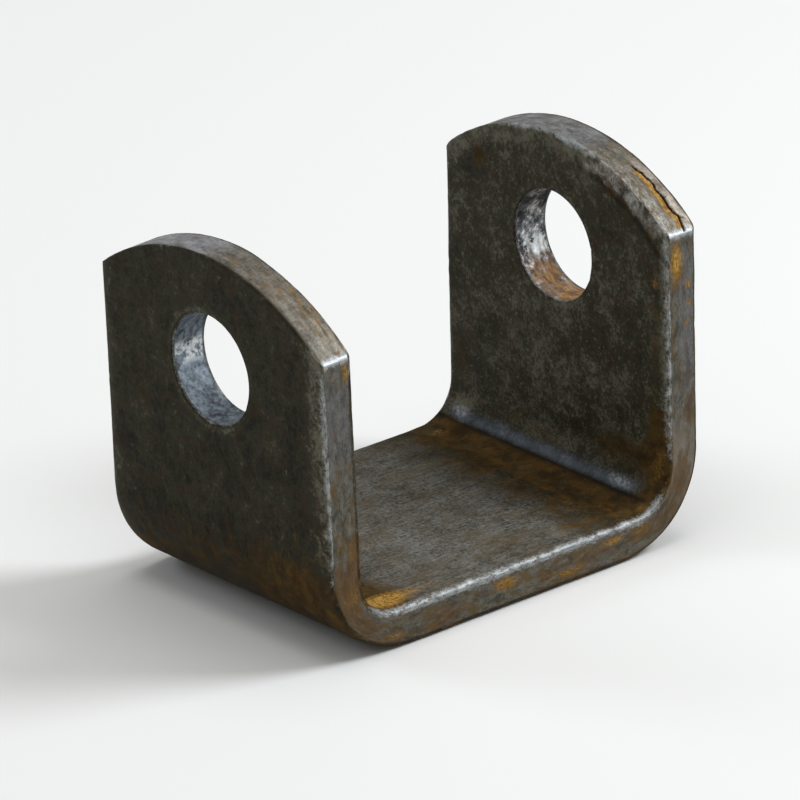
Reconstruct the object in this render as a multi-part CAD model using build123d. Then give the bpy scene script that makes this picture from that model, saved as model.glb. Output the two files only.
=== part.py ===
from build123d import *
import math
import os

# U bracket: one length of hot-rolled flat steel strap, sheared, punched and
# folded into a U with two upright ears. Millimetres.
# +X runs from the left ear to the right ear, +Y across the strap's width
# (front edge at -Y), +Z up. Origin: bottom centre of the bounding box.

# ---- driving dimensions -------------------------------------------------
STRAP_W = 50.8          # width of the strap, 2 in flat bar
STRAP_T = 6.5           # thickness, 1/4 in bar with its mill tolerance and scale
SPAN = 73.2             # outside width over the ears where they leave the bends
SPLAY = 1.0             # each ear leans out this many degrees (springback)
BEND_R_OUT = 15.5       # outside bend radius
BEND_R_IN = 6.2         # inside bend radius; the strap thins in the bend
APEX_Z = 60.1           # height of the arc's crown on both ears
# height of the arc where it runs out at the front and the back edge; the
# shears were not set quite square, so the four corners differ a little
LEFT_CORNERS = (49.9, 51.6)
RIGHT_CORNERS = (50.4, 50.9)
HOLE_D = 17.5           # 11/16 in punched hole, clears a 5/8 in bolt
HOLE_Z = 41.5           # height of the pin axis
HOLE_Y = 0.4            # pin axis sits a little behind the strap's middle
EDGE_R_OUT = 1.4        # rounding of the strap's long edges, outer face
EDGE_R_IN = 0.8         # rounding of the strap's long edges, inner face
TOP_R = 0.35            # break round the sheared top of each ear
LIP_R = 0.3             # rolled-over lip of the punched hole, each rim
# mark of the forming punch in each inside bend: a pressed flat with a crease
MARK_FROM, MARK_TO = 36.0, 70.0   # degrees up the inside bend
MARK_DEPTH = 0.35
MARK_Y = (-19.5, 22.5)

NODE = "u_bracket"

# ---- section of the folded strap ---------------------------------------
phi = math.radians(SPLAY)


def section_points(side):
    """Tangent points of one half of the section; side is +1 right, -1 left."""
    nx, nz = math.cos(phi), -math.sin(phi)      # outward normal of the ear
    tx, tz = math.sin(phi), math.cos(phi)       # up along the ear
    ox, oz = SPAN / 2 - BEND_R_OUT, BEND_R_OUT  # centre of the outside bend
    iz = STRAP_T + BEND_R_IN
    ix = ox + (BEND_R_OUT - STRAP_T - BEND_R_IN
               + (iz - oz) * math.sin(phi)) / math.cos(phi)
    mx, mz = nx, nz - 1.0                       # middle of each arc
    m = math.hypot(mx, mz)
    mx, mz = mx / m, mz / m
    reach = APEX_Z + 12.0
    o_tan = (ox + BEND_R_OUT * nx, oz + BEND_R_OUT * nz)
    i_tan = (ix + BEND_R_IN * nx, iz + BEND_R_IN * nz)
    up_o = (reach - o_tan[1]) / tz
    up_i = (reach - i_tan[1]) / tz
    pts = {
        "base_out": (ox, 0.0),
        "mid_out": (ox + BEND_R_OUT * mx, oz + BEND_R_OUT * mz),
        "tan_out": o_tan,
        "top_out": (o_tan[0] + up_o * tx, reach),
        "top_in": (i_tan[0] + up_i * tx, reach),
        "tan_in": i_tan,
        "mid_in": (ix + BEND_R_IN * mx, iz + BEND_R_IN * mz),
        "base_in": (ix, STRAP_T),
        "centre_in": (ix, iz),
        "centre_out": (ox, oz),
    }
    return {k: (side * x, z) for k, (x, z) in pts.items()}


R, L = section_points(1), section_points(-1)

with BuildPart() as strap:
    with BuildSketch(Plane.XZ) as sec:
        with BuildLine():
            Line(L["base_out"], R["base_out"])
            ThreePointArc(R["base_out"], R["mid_out"], R["tan_out"])
            Line(R["tan_out"], R["top_out"])
            Line(R["top_out"], R["top_in"])
            Line(R["top_in"], R["tan_in"])
            ThreePointArc(R["tan_in"], R["mid_in"], R["base_in"])
            Line(R["base_in"], L["base_in"])
            ThreePointArc(L["base_in"], L["mid_in"], L["tan_in"])
            Line(L["tan_in"], L["top_in"])
            Line(L["top_in"], L["top_out"])
            Line(L["top_out"], L["tan_out"])
            ThreePointArc(L["tan_out"], L["mid_out"], L["base_out"])
        make_face()
    extrude(amount=STRAP_W / 2, both=True)

body = strap.part


def on_outer_face(edge):
    """True for a long edge of the strap's outer face, False for the inner."""
    p = edge @ 0.5
    # which side of the surface halfway through the strap's thickness
    x, z = abs(p.X), p.Z
    half = SPAN / 2 - STRAP_T / 2 + max(0.0, z - BEND_R_OUT) * math.tan(phi)
    if z < STRAP_T / 2:
        return True
    if x > half:
        return True
    cx, cz = R["centre_out"]
    if x > cx and z < cz:
        return math.hypot(x - cx, z - cz) > BEND_R_OUT - STRAP_T * 0.42
    return False


def long_edges(shape, outer):
    """The strap's long edges at the front and back, on one of its faces."""
    return [
        e for e in shape.edges()
        if all(abs(abs((e @ t).Y) - STRAP_W / 2) < 1e-6 for t in (0, 0.5, 1))
        and (e @ 0.5).Z < APEX_Z + 11.9
        and e.length > 3.0
        and on_outer_face(e) == outer
    ]


body = body.fillet(EDGE_R_OUT, long_edges(body, True))
body = body.fillet(EDGE_R_IN, long_edges(body, False))


# ---- arc-sheared tops of the ears ----------------------------------------
def top_circle(corners):
    """Centre (y, z) and radius of the arc through both corners and the crown."""
    zf, zb = corners
    y1, z1, y2, z2, y3, z3 = -STRAP_W / 2, zf, 0.0, APEX_Z, STRAP_W / 2, zb
    a, b = 2 * (y2 - y1), 2 * (z2 - z1)
    c, d = 2 * (y3 - y1), 2 * (z3 - z1)
    e = y2 * y2 + z2 * z2 - y1 * y1 - z1 * z1
    f = y3 * y3 + z3 * z3 - y1 * y1 - z1 * z1
    det = a * d - b * c
    cy, cz = (e * d - b * f) / det, (a * f - e * c) / det
    return cy, cz, math.hypot(y1 - cy, z1 - cz)


def shear_tool(side, corners):
    cy, cz, r = top_circle(corners)
    out = STRAP_W / 2 + 2.0
    z_at = lambda y: cz + math.sqrt(r * r - (y - cy) ** 2)
    lo, hi = -out, out
    face_plane = Plane(origin=(0, 0, 0), x_dir=(0, 1, 0), z_dir=(1, 0, 0))
    with BuildPart() as tool:
        with BuildSketch(face_plane):
            with BuildLine():
                ThreePointArc((lo, z_at(lo)), (0.0, z_at(0.0)), (hi, z_at(hi)))
                Line((hi, z_at(hi)), (hi, APEX_Z + 30))
                Line((hi, APEX_Z + 30), (lo, APEX_Z + 30))
                Line((lo, APEX_Z + 30), (lo, z_at(lo)))
            make_face()
        extrude(amount=SPAN)
    solid = tool.part
    if side < 0:
        solid = Pos(-SPAN, 0, 0) * solid
    # square to the ear, so it leans with it about the bend's own axis
    cx, cz0 = side * (SPAN / 2 - BEND_R_OUT), BEND_R_OUT
    return Pos(cx, 0, cz0) * Rot(0, side * SPLAY, 0) * Pos(-cx, 0, -cz0) * solid


# the tools start clear of the other ear
body = body - (shear_tool(1, RIGHT_CORNERS) & Pos(SPAN / 2 + 10, 0, 60) * Box(SPAN + 20, 200, 200))
body = body - (shear_tool(-1, LEFT_CORNERS) & Pos(-SPAN / 2 - 10, 0, 60) * Box(SPAN + 20, 200, 200))


def is_shear_edge(edge):
    p = edge @ 0.5
    if p.Z < min(LEFT_CORNERS + RIGHT_CORNERS) - 3.0:
        return False
    side = 1 if p.X > 0 else -1
    cy, cz, r = top_circle(RIGHT_CORNERS if side > 0 else LEFT_CORNERS)
    # undo the lean before measuring against the arc
    cx, cz0 = side * (SPAN / 2 - BEND_R_OUT), BEND_R_OUT
    dx, dz = p.X - cx, p.Z - cz0
    z = cz0 + dz * math.cos(phi) + side * dx * math.sin(phi)
    return abs(math.hypot(p.Y - cy, z - cz) - r) < 0.02


top_edges = [e for e in body.edges() if is_shear_edge(e)]
body = body.fillet(TOP_R, top_edges)

# ---- punched pin hole through both ears -----------------------------------
body = body - Pos(0, HOLE_Y, HOLE_Z) * Rot(0, 90, 0) * Cylinder(HOLE_D / 2, SPAN * 2)
rims = [
    e for e in body.edges()
    if abs(math.hypot((e @ 0).Y - HOLE_Y, (e @ 0).Z - HOLE_Z) - HOLE_D / 2) < 1e-3
    and abs(math.hypot((e @ 0.37).Y - HOLE_Y, (e @ 0.37).Z - HOLE_Z) - HOLE_D / 2) < 1e-3
    and abs((e @ 0).X - (e @ 0.25).X) < 1.0
]
body = body.fillet(LIP_R, rims)


# ---- punch mark in each inside bend ----------------------------------------
def punch_mark(side):
    """Pressed flat from the crease up the bend, cut as a shallow prism."""
    cx, cz = R["centre_in"]
    a0, a1 = math.radians(MARK_FROM), math.radians(MARK_TO)

    def at(angle, radius):
        return (cx + radius * math.sin(angle), cz - radius * math.cos(angle))

    p_low = at(a0, BEND_R_IN + MARK_DEPTH)          # bottom of the crease
    p_lip = at(a0 - math.radians(4.0), BEND_R_IN - 0.02)
    p_high = at(a1, BEND_R_IN - 0.02)
    p_free = at((a0 + a1) / 2, BEND_R_IN * 0.55)    # open side, in the air
    pts = [p_lip, p_low, p_high, p_free]
    pts = [(side * x, z) for x, z in pts]
    with BuildPart() as tool:
        with BuildSketch(Plane.XZ.offset(-MARK_Y[1])):
            with BuildLine():
                Polyline(*pts, close=True)
            make_face()
        extrude(amount=MARK_Y[1] - MARK_Y[0])
    return tool.part


body = body - punch_mark(1)
body = body - punch_mark(-1)

solid = body.solids()[0]
box = solid.bounding_box()
print("solids", len(body.solids()), "volume", round(solid.volume, 1), "box", box)
print("valid", solid.is_valid, "top edges", len(top_edges), "rims", len(rims))

# stand the bounding box's bottom centre on the origin
solid = Pos(-(box.min.X + box.max.X) / 2, -(box.min.Y + box.max.Y) / 2, -box.min.Z) * solid
solid.label = NODE

os.makedirs("parts", exist_ok=True)
export_step(solid, f"parts/{NODE}.step")
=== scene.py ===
import math

import bpy
import numpy as np
from mathutils import Matrix, Vector


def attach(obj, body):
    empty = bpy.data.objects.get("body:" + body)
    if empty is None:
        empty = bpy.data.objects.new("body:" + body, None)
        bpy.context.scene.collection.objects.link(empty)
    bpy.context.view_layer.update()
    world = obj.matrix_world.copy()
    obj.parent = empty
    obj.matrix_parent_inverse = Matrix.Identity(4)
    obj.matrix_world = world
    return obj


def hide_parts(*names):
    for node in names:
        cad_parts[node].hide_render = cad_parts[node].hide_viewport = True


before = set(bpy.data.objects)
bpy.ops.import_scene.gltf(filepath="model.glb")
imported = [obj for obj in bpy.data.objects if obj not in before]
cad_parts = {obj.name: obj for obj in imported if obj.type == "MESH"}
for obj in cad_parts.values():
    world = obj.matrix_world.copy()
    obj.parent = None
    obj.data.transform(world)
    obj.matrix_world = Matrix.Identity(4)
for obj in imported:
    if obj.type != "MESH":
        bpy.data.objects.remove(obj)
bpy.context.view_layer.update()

# --------------------------------------------------------------------------
# The strap as a flat blank. Millimetres; u runs along the strap from the
# middle of the base (left ear negative), y across it, tau through it from
# the outer face (0) to the inner face (T). fold() bends the blank to the U.
# --------------------------------------------------------------------------
W, T = 50.8, 6.5
SPAN, SPLAY = 73.2, math.radians(1.0)
RO, RI = 15.5, 6.2
APEX = 60.1
LEFT, RIGHT = (49.9, 51.6), (50.4, 50.9)
TOP_IN_R, TOP_IN_D = 0.9, 0.3
LONG_D_FRONT, LONG_D_BACK = 0.75, 0.8
HOLE_R, HOLE_Y, HOLE_H = 8.75, 0.4, 41.72
MARK_Y0, MARK_Y1 = -19.5, 22.5
OX = SPAN / 2 - RO
SN, CS = math.sin(SPLAY), math.cos(SPLAY)
THETA = math.pi / 2 - SPLAY
B, LB = OX, 19.5                      # half base, nominal length of a bend
EAR0 = B + LB                         # u where an ear starts
IX = OX + (RO - T - RI + (T + RI - RO) * SN) / CS
IZ = T + RI
I_TAN = np.array([IX + RI * CS, IZ - RI * SN])
O_TAN = np.array([OX + RO * CS, RO - RO * SN])
UP = np.array([SN, CS])
S1 = IX + RI * THETA + float(np.dot(np.array([OX + (RO - T) * CS, RO - (RO - T) * SN]) - I_TAN, UP))
U_END = EAR0 + APEX - RO


def outer_curve(a):
    th = np.clip((a - B) / LB, 0, 1) * THETA
    h = np.maximum(a - EAR0, 0)
    x = np.where(a <= B, a, np.where(a <= EAR0, OX + RO * np.sin(th), O_TAN[0] + h * SN))
    z = np.where(a <= B, 0.0, np.where(a <= EAR0, RO - RO * np.cos(th), O_TAN[1] + h * CS))
    return x, z


def inner_curve(a):
    s = np.where(a <= B, a, np.where(a <= EAR0, B + (a - B) / LB * (S1 - B), S1 + a - EAR0))
    th = np.clip((s - IX) / RI, 0, THETA)
    h = np.maximum(s - IX - RI * THETA, 0)
    x = np.where(s <= IX, s, np.where(th < THETA, IX + RI * np.sin(th), I_TAN[0] + h * SN))
    z = np.where(s <= IX, T, np.where(th < THETA, IZ - RI * np.cos(th), I_TAN[1] + h * CS))
    return x, z


def bend_u(deg):
    """u of the point at that angle up the inside bend's arc."""
    s = IX + RI * math.radians(deg)
    return B + (s - B) * LB / (S1 - B)


def fold(u, y, tau):
    a = np.abs(u)
    xo, zo = outer_curve(a)
    xi, zi = inner_curve(a)
    t = tau / T
    x = (xo * (1 - t) + xi * t) * np.where(u < 0, -1.0, 1.0)
    z = zo * (1 - t) + zi * t
    return np.stack([x, y + 0 * x, z], -1)


def top_circle(corners):
    zf, zb = corners
    m = np.array([[0 + W / 2, APEX - zf], [W, zb - zf]]) * 2
    v = np.array([APEX ** 2 - (W / 2) ** 2 - zf ** 2, zb ** 2 - zf ** 2])
    cy, cz = np.linalg.solve(m, v)
    return cy, cz, math.hypot(-W / 2 - cy, zf - cz)


ARC = {-1: top_circle(LEFT), 1: top_circle(RIGHT)}


def arc_h(y, side):
    cy, cz, r = ARC[side]
    return cz + np.sqrt(np.maximum(r * r - (y - cy) ** 2, 0))


# --------------------------------------------------------------------------
# Noise on arrays of points, always the same for the same seed
# --------------------------------------------------------------------------
def _hash(ix, iy, iz, seed):
    h = (ix.astype(np.uint64) * np.uint64(73856093)) ^ (iy.astype(np.uint64) * np.uint64(19349663)) ^ (
        iz.astype(np.uint64) * np.uint64(83492791)) ^ np.uint64(seed * 2654435761 % (1 << 32))
    h = (h ^ (h >> np.uint64(15))) * np.uint64(2246822519)
    h = (h ^ (h >> np.uint64(13))) * np.uint64(3266489917)
    return (h ^ (h >> np.uint64(16))) & np.uint64(0xFFFFFF)


_A = np.arange(16) * (2 * math.pi / 16)
_G = np.stack([np.cos(_A) * np.cos(_A * 3 + 1), np.sin(_A) * np.cos(_A * 3 + 1), np.sin(_A * 3 + 1)], -1)


def noise(p, seed=1):
    """Smooth gradient noise, about -1 to 1."""
    q = np.floor(p)
    f = p - q
    q = q.astype(np.int64) + 4096
    w = f * f * f * (f * (f * 6 - 15) + 10)
    out = 0
    for dx in (0, 1):
        for dy in (0, 1):
            for dz in (0, 1):
                g = _G[(_hash(q[:, 0] + dx, q[:, 1] + dy, q[:, 2] + dz, seed) % np.uint64(16)).astype(int)]
                d = (g * (f - np.array([dx, dy, dz]))).sum(1)
                k = (w[:, 0] if dx else 1 - w[:, 0]) * (w[:, 1] if dy else 1 - w[:, 1]) * (w[:, 2] if dz else 1 - w[:, 2])
                out = out + d * k
    return out * 1.6


def fbm(p, octaves=3, seed=1, gain=0.5):
    total, amp, norm = 0, 1.0, 0.0
    for i in range(octaves):
        total = total + amp * noise(p * 2.0 ** i + 17.3 * i, seed + i)
        norm += amp
        amp *= gain
    return total / norm


def step(lo, hi, x):
    t = np.clip((x - lo) / (hi - lo), 0, 1)
    return t * t * (3 - 2 * t)


# --------------------------------------------------------------------------
# Grid of the blank's two faces
# --------------------------------------------------------------------------
EDGE_D = [0.0, 0.03, 0.12, 0.26, 0.45, 0.7, 1.0, 1.35, 1.75, 2.2, 2.68]
CREASE = bend_u(36.0)


def lines(lo, hi, pitch):
    n = max(1, int(round((hi - lo) / pitch)))
    return list(np.linspace(lo, hi, n + 1))


def u_lines():
    a = lines(0, B, 0.56)
    a += lines(B, CREASE - 0.75, 0.52)[1:]
    a += [CREASE - 0.5, CREASE - 0.28, CREASE - 0.12, CREASE, CREASE + 0.14, CREASE + 0.32, CREASE + 0.6]
    a += lines(CREASE + 0.95, EAR0, 0.5)
    a += lines(EAR0, U_END - EDGE_D[-1], 0.53)[1:-1]
    a += [U_END - d for d in reversed(EDGE_D)]
    a = np.array(a)
    return np.concatenate([-a[::-1][:-1], a])


def y_lines():
    inner = lines(-W / 2 + EDGE_D[-1], W / 2 - EDGE_D[-1], 0.53)
    return np.array([-W / 2 + d for d in EDGE_D[:-1]] + inner + [W / 2 - d for d in reversed(EDGE_D[:-1])])


UL, YL = u_lines(), y_lines()
NU, NY = len(UL), len(YL)
U0, Y0 = np.meshgrid(UL, YL, indexing="ij")
FIX = 45.0                            # outboard of this the columns follow the arc
gu = U0.copy()
for side in (-1, 1):
    end = EAR0 + arc_h(Y0, side) - RO
    a = U0 * side
    squeezed = FIX + (a - FIX) * (end - FIX) / (U_END - FIX)
    # keep the edge rows at their own distance from the arc
    near = U_END - a
    k = step(8.0, 3.0, near)
    squeezed = np.where(a > FIX, squeezed * (1 - k) + (end - near) * k, a)
    gu = np.where(a > FIX, squeezed * side, gu)
gy = Y0.copy()

# plan rounding of the four corners where an arc meets a long edge
PLAN_R = {(-1, -1): 0.9, (-1, 1): 0.5, (1, -1): 1.0, (1, 1): 4.5}


def arc_dist(u, y, side):
    cy, cz, r = ARC[side]
    z = u * side - EAR0 + RO
    return r - np.hypot(y - cy, z - cz)


for (side, ys), rc in PLAN_R.items():
    cy, cz, r = ARC[side]
    # centre at distance rc from both boundaries
    yc = ys * (W / 2 - rc)
    zc = cz + math.sqrt((r - rc) ** 2 - (yc - cy) ** 2)
    uc = side * (zc - RO + EAR0)
    n1 = np.array([0.0, ys])
    n2 = np.array([side * (zc - cz), yc - cy])
    n2 /= np.linalg.norm(n2)
    du, dy = gu - uc, gy - yc
    rr = np.hypot(du, dy) + 1e-12
    c1 = (du * n1[0] + dy * n1[1]) / rr
    c2 = (du * n2[0] + dy * n2[1]) / rr
    ctop = n1 @ n2
    inside = (c1 > ctop) & (c2 > ctop) & (du * side > -3 * rc)
    scale = np.where(inside, np.maximum(c1, c2), 1.0)
    gu, gy = uc + du * scale, yc + dy * scale

# --------------------------------------------------------------------------
# Edge radii, which wander a little along the edges
# --------------------------------------------------------------------------


def edge_radii(u, y, inner):
    """Reach and depth of the long edge's rounding, then of the sheared edge's."""
    p = np.stack([u / 7.0, y / 7.0, np.full_like(u, 3.0 if inner else 0.0)], -1).reshape(-1, 3)
    wob = noise(p, 21).reshape(u.shape)
    fine = noise(p * 4.1, 22).reshape(u.shape)
    if inner:
        long_r = 1.20 + 0.25 * wob + 0.12 * fine
        long_d = 0.95 + 0.15 * wob
        roll = step(38, 50, np.abs(u)) * step(-3, -9, y)
        top_r = TOP_IN_R + 0.2 * wob + 0.1 * fine + 1.3 * roll
        top_d = TOP_IN_D + 0.08 * wob + 0.3 * roll
    else:
        long_r = 2.2 + 0.30 * wob + 0.12 * fine
        long_d = np.where(y < 0, LONG_D_FRONT, LONG_D_BACK) + 0.12 * wob
        top_r = 0.42 + 0.14 * wob + 0.07 * fine
        top_d = 0.36 + 0.10 * wob
    return long_r, long_d, top_r, top_d


def depth_at(u, y, inner):
    """How far the rounding takes the face below its plane, and q: 1 at the rim."""
    a = np.minimum(y + W / 2, W / 2 - y)
    b = np.where(u < 0, arc_dist(u, y, -1), arc_dist(u, y, 1))
    b = np.where(np.abs(u) < FIX, 99.0, b)
    ra, da, rb, db = edge_radii(u, y, inner)
    A = np.clip(1 - a / ra, 0, 1)
    Bq = np.clip(1 - b / rb, 0, 1)
    P = 5.0
    wa, wb = A ** P, Bq ** P
    q = np.minimum((wa + wb) ** (1 / P), 1.0)
    d = np.where(wa + wb > 1e-9, (da * wa + db * wb) / (wa + wb + 1e-12), da)
    return d * (1 - np.sqrt(np.maximum(1 - q * q, 0))), q


# --------------------------------------------------------------------------
# Vertices and faces
# --------------------------------------------------------------------------
V_u, V_y, V_tau, V_zone, V_d, quads = [], [], [], [], [], []
OUTER, INNER, LONG, TOP, BORE = 0, 1, 2, 3, 4


def add(u, y, tau, zone, d):
    """Adds vertices and returns their indices. d is the distance to the rim."""
    u, y, tau, d = np.broadcast_arrays(np.asarray(u, float), y, tau, d)
    start = sum(len(x) for x in V_u)
    V_u.append(u.ravel().astype(float))
    V_y.append(y.ravel().astype(float))
    V_tau.append(tau.ravel().astype(float))
    V_zone.append(np.full(u.size, zone))
    V_d.append(d.ravel().astype(float))
    return start + np.arange(u.size).reshape(u.shape)


def skin(a, flip=False):
    """Quads over a 2-D array of vertex indices."""
    q = np.stack([a[:-1, :-1], a[1:, :-1], a[1:, 1:], a[:-1, 1:]], -1).reshape(-1, 4)
    quads.append(q[:, ::-1] if flip else q)


def block_range(side):
    c = side * (EAR0 + HOLE_H - RO)
    iu = [int(np.argmin(np.abs(UL - (c + s * 11.6)))) for s in (-1, 1)]
    iy = [int(np.argmin(np.abs(YL - (HOLE_Y + s * 11.6)))) for s in (-1, 1)]
    return iu[0], iu[1], iy[0], iy[1]


LIP_OUT, LIP_IN = 0.34, 0.3
face_idx, rim_idx = {}, {}
for inner in (False, True):
    dep, q = depth_at(gu, gy, inner)
    tau = T - dep if inner else dep
    zone = INNER if inner else OUTER
    rim_d = np.minimum(np.minimum(gy + W / 2, W / 2 - gy), np.where(gu < 0, arc_dist(gu, gy, -1), arc_dist(gu, gy, 1)))
    idx = add(gu, gy, tau, zone, rim_d)
    face_idx[inner] = idx
    hole_mask = np.zeros((NU - 1, NY - 1), bool)
    for side in (-1, 1):
        a0, a1, b0, b1 = block_range(side)
        hole_mask[a0:a1, b0:b1] = True
        loop = ([(i, b0) for i in range(a0, a1)] + [(a1, j) for j in range(b0, b1)]
                + [(i, b1) for i in range(a1, a0, -1)] + [(a0, j) for j in range(b1, b0, -1)])
        li, lj = np.array(loop).T
        pu, py, pt = gu[li, lj], gy[li, lj], tau[li, lj]
        cu = side * (EAR0 + HOLE_H - RO)
        ang = np.arctan2(py - HOLE_Y, pu - cu)
        cosa, sina = np.cos(ang), np.sin(ang)
        far = np.hypot(pu - cu, py - HOLE_Y) - HOLE_R
        lip = LIP_IN if inner else LIP_OUT
        near = [0.0, 0.03, 0.1, 0.2, 0.34, 0.5, 0.68, 0.9, 1.15]
        rings = []
        for d in near:
            rr = HOLE_R + d
            qq = max(0.0, 1 - d / lip)
            dp = lip * (1 - math.sqrt(max(0.0, 1 - qq * qq)))
            tt = T - dp if inner else dp
            rings.append(add(cu + rr * cosa, HOLE_Y + rr * sina, tt, zone, d))
        for f in (0.14, 0.28, 0.43, 0.58, 0.72, 0.86):
            d = near[-1] + (far - near[-1]) * f
            rings.append(add(cu + (HOLE_R + d) * cosa, HOLE_Y + (HOLE_R + d) * sina, T if inner else 0.0, zone, d))
        rings.append(idx[li, lj])
        ring = np.array(rings)
        ring = np.concatenate([ring, ring[:, :1]], 1)
        skin(ring, flip=not inner)
        rim_idx[(inner, side)] = ring[0]
    cells = np.argwhere(~hole_mask)
    i, j = cells[:, 0], cells[:, 1]
    qd = np.stack([idx[i, j], idx[i + 1, j], idx[i + 1, j + 1], idx[i, j + 1]], -1)
    quads.append(qd[:, ::-1] if not inner else qd)

# rim of the blank, front-left corner round by the front edge
loop = ([(i, 0) for i in range(0, NU - 1)] + [(NU - 1, j) for j in range(0, NY - 1)]
        + [(i, NY - 1) for i in range(NU - 1, 0, -1)] + [(0, j) for j in range(NY - 1, 0, -1)])
li, lj = np.array(loop).T
bu, by = gu[li, lj], gy[li, lj]
tau_o = np.array([x for x in depth_at(bu, by, False)[0]])
tau_i = T - depth_at(bu, by, True)[0]
on_top = (li == 0) | (li == NU - 1)
# line of the split in the right ear's sheared top, in tau
CRACK = [(-26.0, 2.35), (-25.0, 2.25), (-24.0, 1.95), (-23.2, 1.75), (-22.6, 2.15), (-21.6, 2.3), (-20.6, 2.05), (-19.6, 2.0),
         (-18.6, 2.15), (-17.6, 1.7), (-16.8, 1.75), (-16.0, 1.95), (-15.2, 1.9), (-14.4, 2.2), (-13.6, 2.3), (-12.6, 2.5)]
cy_, ct_ = np.array(CRACK).T
crack_tau = np.interp(by, cy_, ct_)
crack_w = np.where(li == NU - 1, step(-9.5, -13.5, by), 0.0)
ROWS = 15
OFFS = np.array([-1.45, -0.95, -0.6, -0.34, -0.17, -0.07, 0.0, 0.07, 0.2, 0.42, 0.75, 1.2, 1.8, 2.5, 3.2])
rows = [face_idx[False][li, lj]]
for k in range(ROWS):
    even = tau_o + (tau_i - tau_o) * (k + 1) / (ROWS + 1)
    o = OFFS[k]
    c = crack_tau + o
    lo_lim = tau_o + (crack_tau - tau_o) * (k + 1) / 7.5
    hi_lim = crack_tau + (tau_i - crack_tau) * (k - 6) / 9.2
    c = np.where(o < 0, np.maximum(c, lo_lim), np.where(o > 0, np.minimum(c, np.maximum(hi_lim, crack_tau + min(o, 0.2))), c))
    tau = even * (1 - crack_w) + c * crack_w
    rows.append(add(bu, by, tau, LONG, 0.0))
rows.append(face_idx[True][li, lj])
rim = np.array(rows)
rim = np.concatenate([rim, rim[:, :1]], 1)
skin(rim, flip=True)

for side in (-1, 1):
    a, b = rim_idx[(False, side)], rim_idx[(True, side)]
    n = 15
    rings = [a]
    cu = side * (EAR0 + HOLE_H - RO)
    uu = np.concatenate(V_u)[a[:-1]]
    yy = np.concatenate(V_y)[a[:-1]]
    for k in range(1, n):
        t0, t1 = LIP_OUT, T - LIP_IN
        tau = t0 + (t1 - t0) * k / n
        r = add(uu, yy, tau, BORE, 0.0)
        rings.append(np.append(r, r[0]))
    rings.append(b)
    skin(np.array(rings))

u = np.concatenate(V_u)
y = np.concatenate(V_y)
tau = np.concatenate(V_tau)
zone = np.concatenate(V_zone)
quads = np.concatenate(quads)
rim_rows = np.array(rows[1:-1])
zone[rim_rows[:, on_top].ravel()] = TOP

co = fold(u, y, tau)


def normals(co):
    a, b, c, d = (co[quads[:, k]] for k in range(4))
    n = np.cross(c - a, d - b)
    out = np.zeros_like(co)
    for k in range(4):
        np.add.at(out, quads[:, k], n)
    return out / (np.linalg.norm(out, axis=1)[:, None] + 1e-12)


# --------------------------------------------------------------------------
# Where each point lies: which face, how far from each rim, how high on an ear
# --------------------------------------------------------------------------
side = np.where(u < 0, -1, 1)
au, h = np.abs(u), -y                 # h grows towards the front
ez = au - EAR0 + RO                   # height on an ear
outer, inner_, edge, top, bore = (zone == k for k in range(5))
flat_p = np.stack([u, y, tau * 3.0], -1)
long_d = W / 2 - np.abs(y)
arc_d = np.where(u < 0, arc_dist(u, y, -1), arc_dist(u, y, 1))
arc_d = np.where(au < FIX, 99.0, arc_d)
hole_d = np.hypot(au - (EAR0 + HOLE_H - RO), y - HOLE_Y) - HOLE_R
face_rim = np.minimum(long_d, arc_d)
rim_in = np.where(inner_, face_rim, np.where(edge | top, np.maximum(T - tau - 0.25, 0), 9.0))
rim_out = np.where(outer, face_rim, np.where(edge | top, np.maximum(tau - 0.25, 0), 9.0))
corner_d = np.where(top, long_d, np.where(edge, arc_d, 9.0))
# 0 at the bend's start, 1 at its end, and the angle up the inside bend
s_in = np.where(au <= B, au, np.where(au <= EAR0, B + (au - B) / LB * (S1 - B), S1 + au - EAR0))
bend_deg = np.degrees((s_in - IX) / RI)


def n1(size, seed, octaves=2, stretch=(1, 1, 1)):
    return fbm(flat_p / size * np.array(stretch), octaves, seed)


def line(x, width):
    return np.exp(-(x / width) ** 2)


# --------------------------------------------------------------------------
# The surface pressed in, in millimetres: never out, so the piece keeps its box
# --------------------------------------------------------------------------
press = 0.06 * step(-1, 1, n1(15, 31)) + 0.03 * step(-0.9, 0.9, n1(4.5, 35))
press += np.where(edge, 0.05, 0.018) * step(-0.6, 0.9, n1(1.5, 41, 3))
# ragged rims
near_rim = np.maximum(line(rim_in, 0.75), 0.7 * line(rim_out, 0.7))
press += near_rim * np.where(y > 0, 0.04, 0.065) * step(-0.2, 0.9, n1(1.3, 51)) * (zone != BORE)
# the sheared tops: drag lines down the cut, coarse grain
press += top * (0.05 * step(-0.5, 0.8, n1(1.0, 61, 2, (1, 1, 0.12))) + 0.05 * step(-0.4, 0.8, n1(1.1, 65)))
# the mark of the forming punch in both inside bends
mark_y = step(-MARK_Y1 - 1.2, -MARK_Y1 + 1.0, -y) * step(MARK_Y0 - 1.5, MARK_Y0 + 1.5, y)
foot = step(33.2, 35.8, bend_deg)
facet = np.where(bend_deg < 36, foot, np.clip((70 - bend_deg) / 34.0, 0, 1))
press += inner_ * mark_y * 0.42 * facet * (1 + 0.15 * n1(5, 71))
# bore: clean where the punch entered, torn and a little wider where it broke out
depth_in = tau / T
torn = step(0.35, 0.75, depth_in + 0.14 * n1(2.4, 81))
press += bore * (0.02 + torn * (0.02 + 0.10 * step(-0.4, 0.9, n1(1.1, 85, 3))))
# the split in the right ear's top
crack_at = np.interp(y, cy_, ct_)
crack_on = top * (side > 0) * step(-12.8, -14.2, y)
press += crack_on * (0.42 * line(tau - crack_at, 0.13) + 0.22 * step(0.1, 0.35, tau - crack_at) * step(1.7, 1.0, tau - crack_at))
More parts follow.
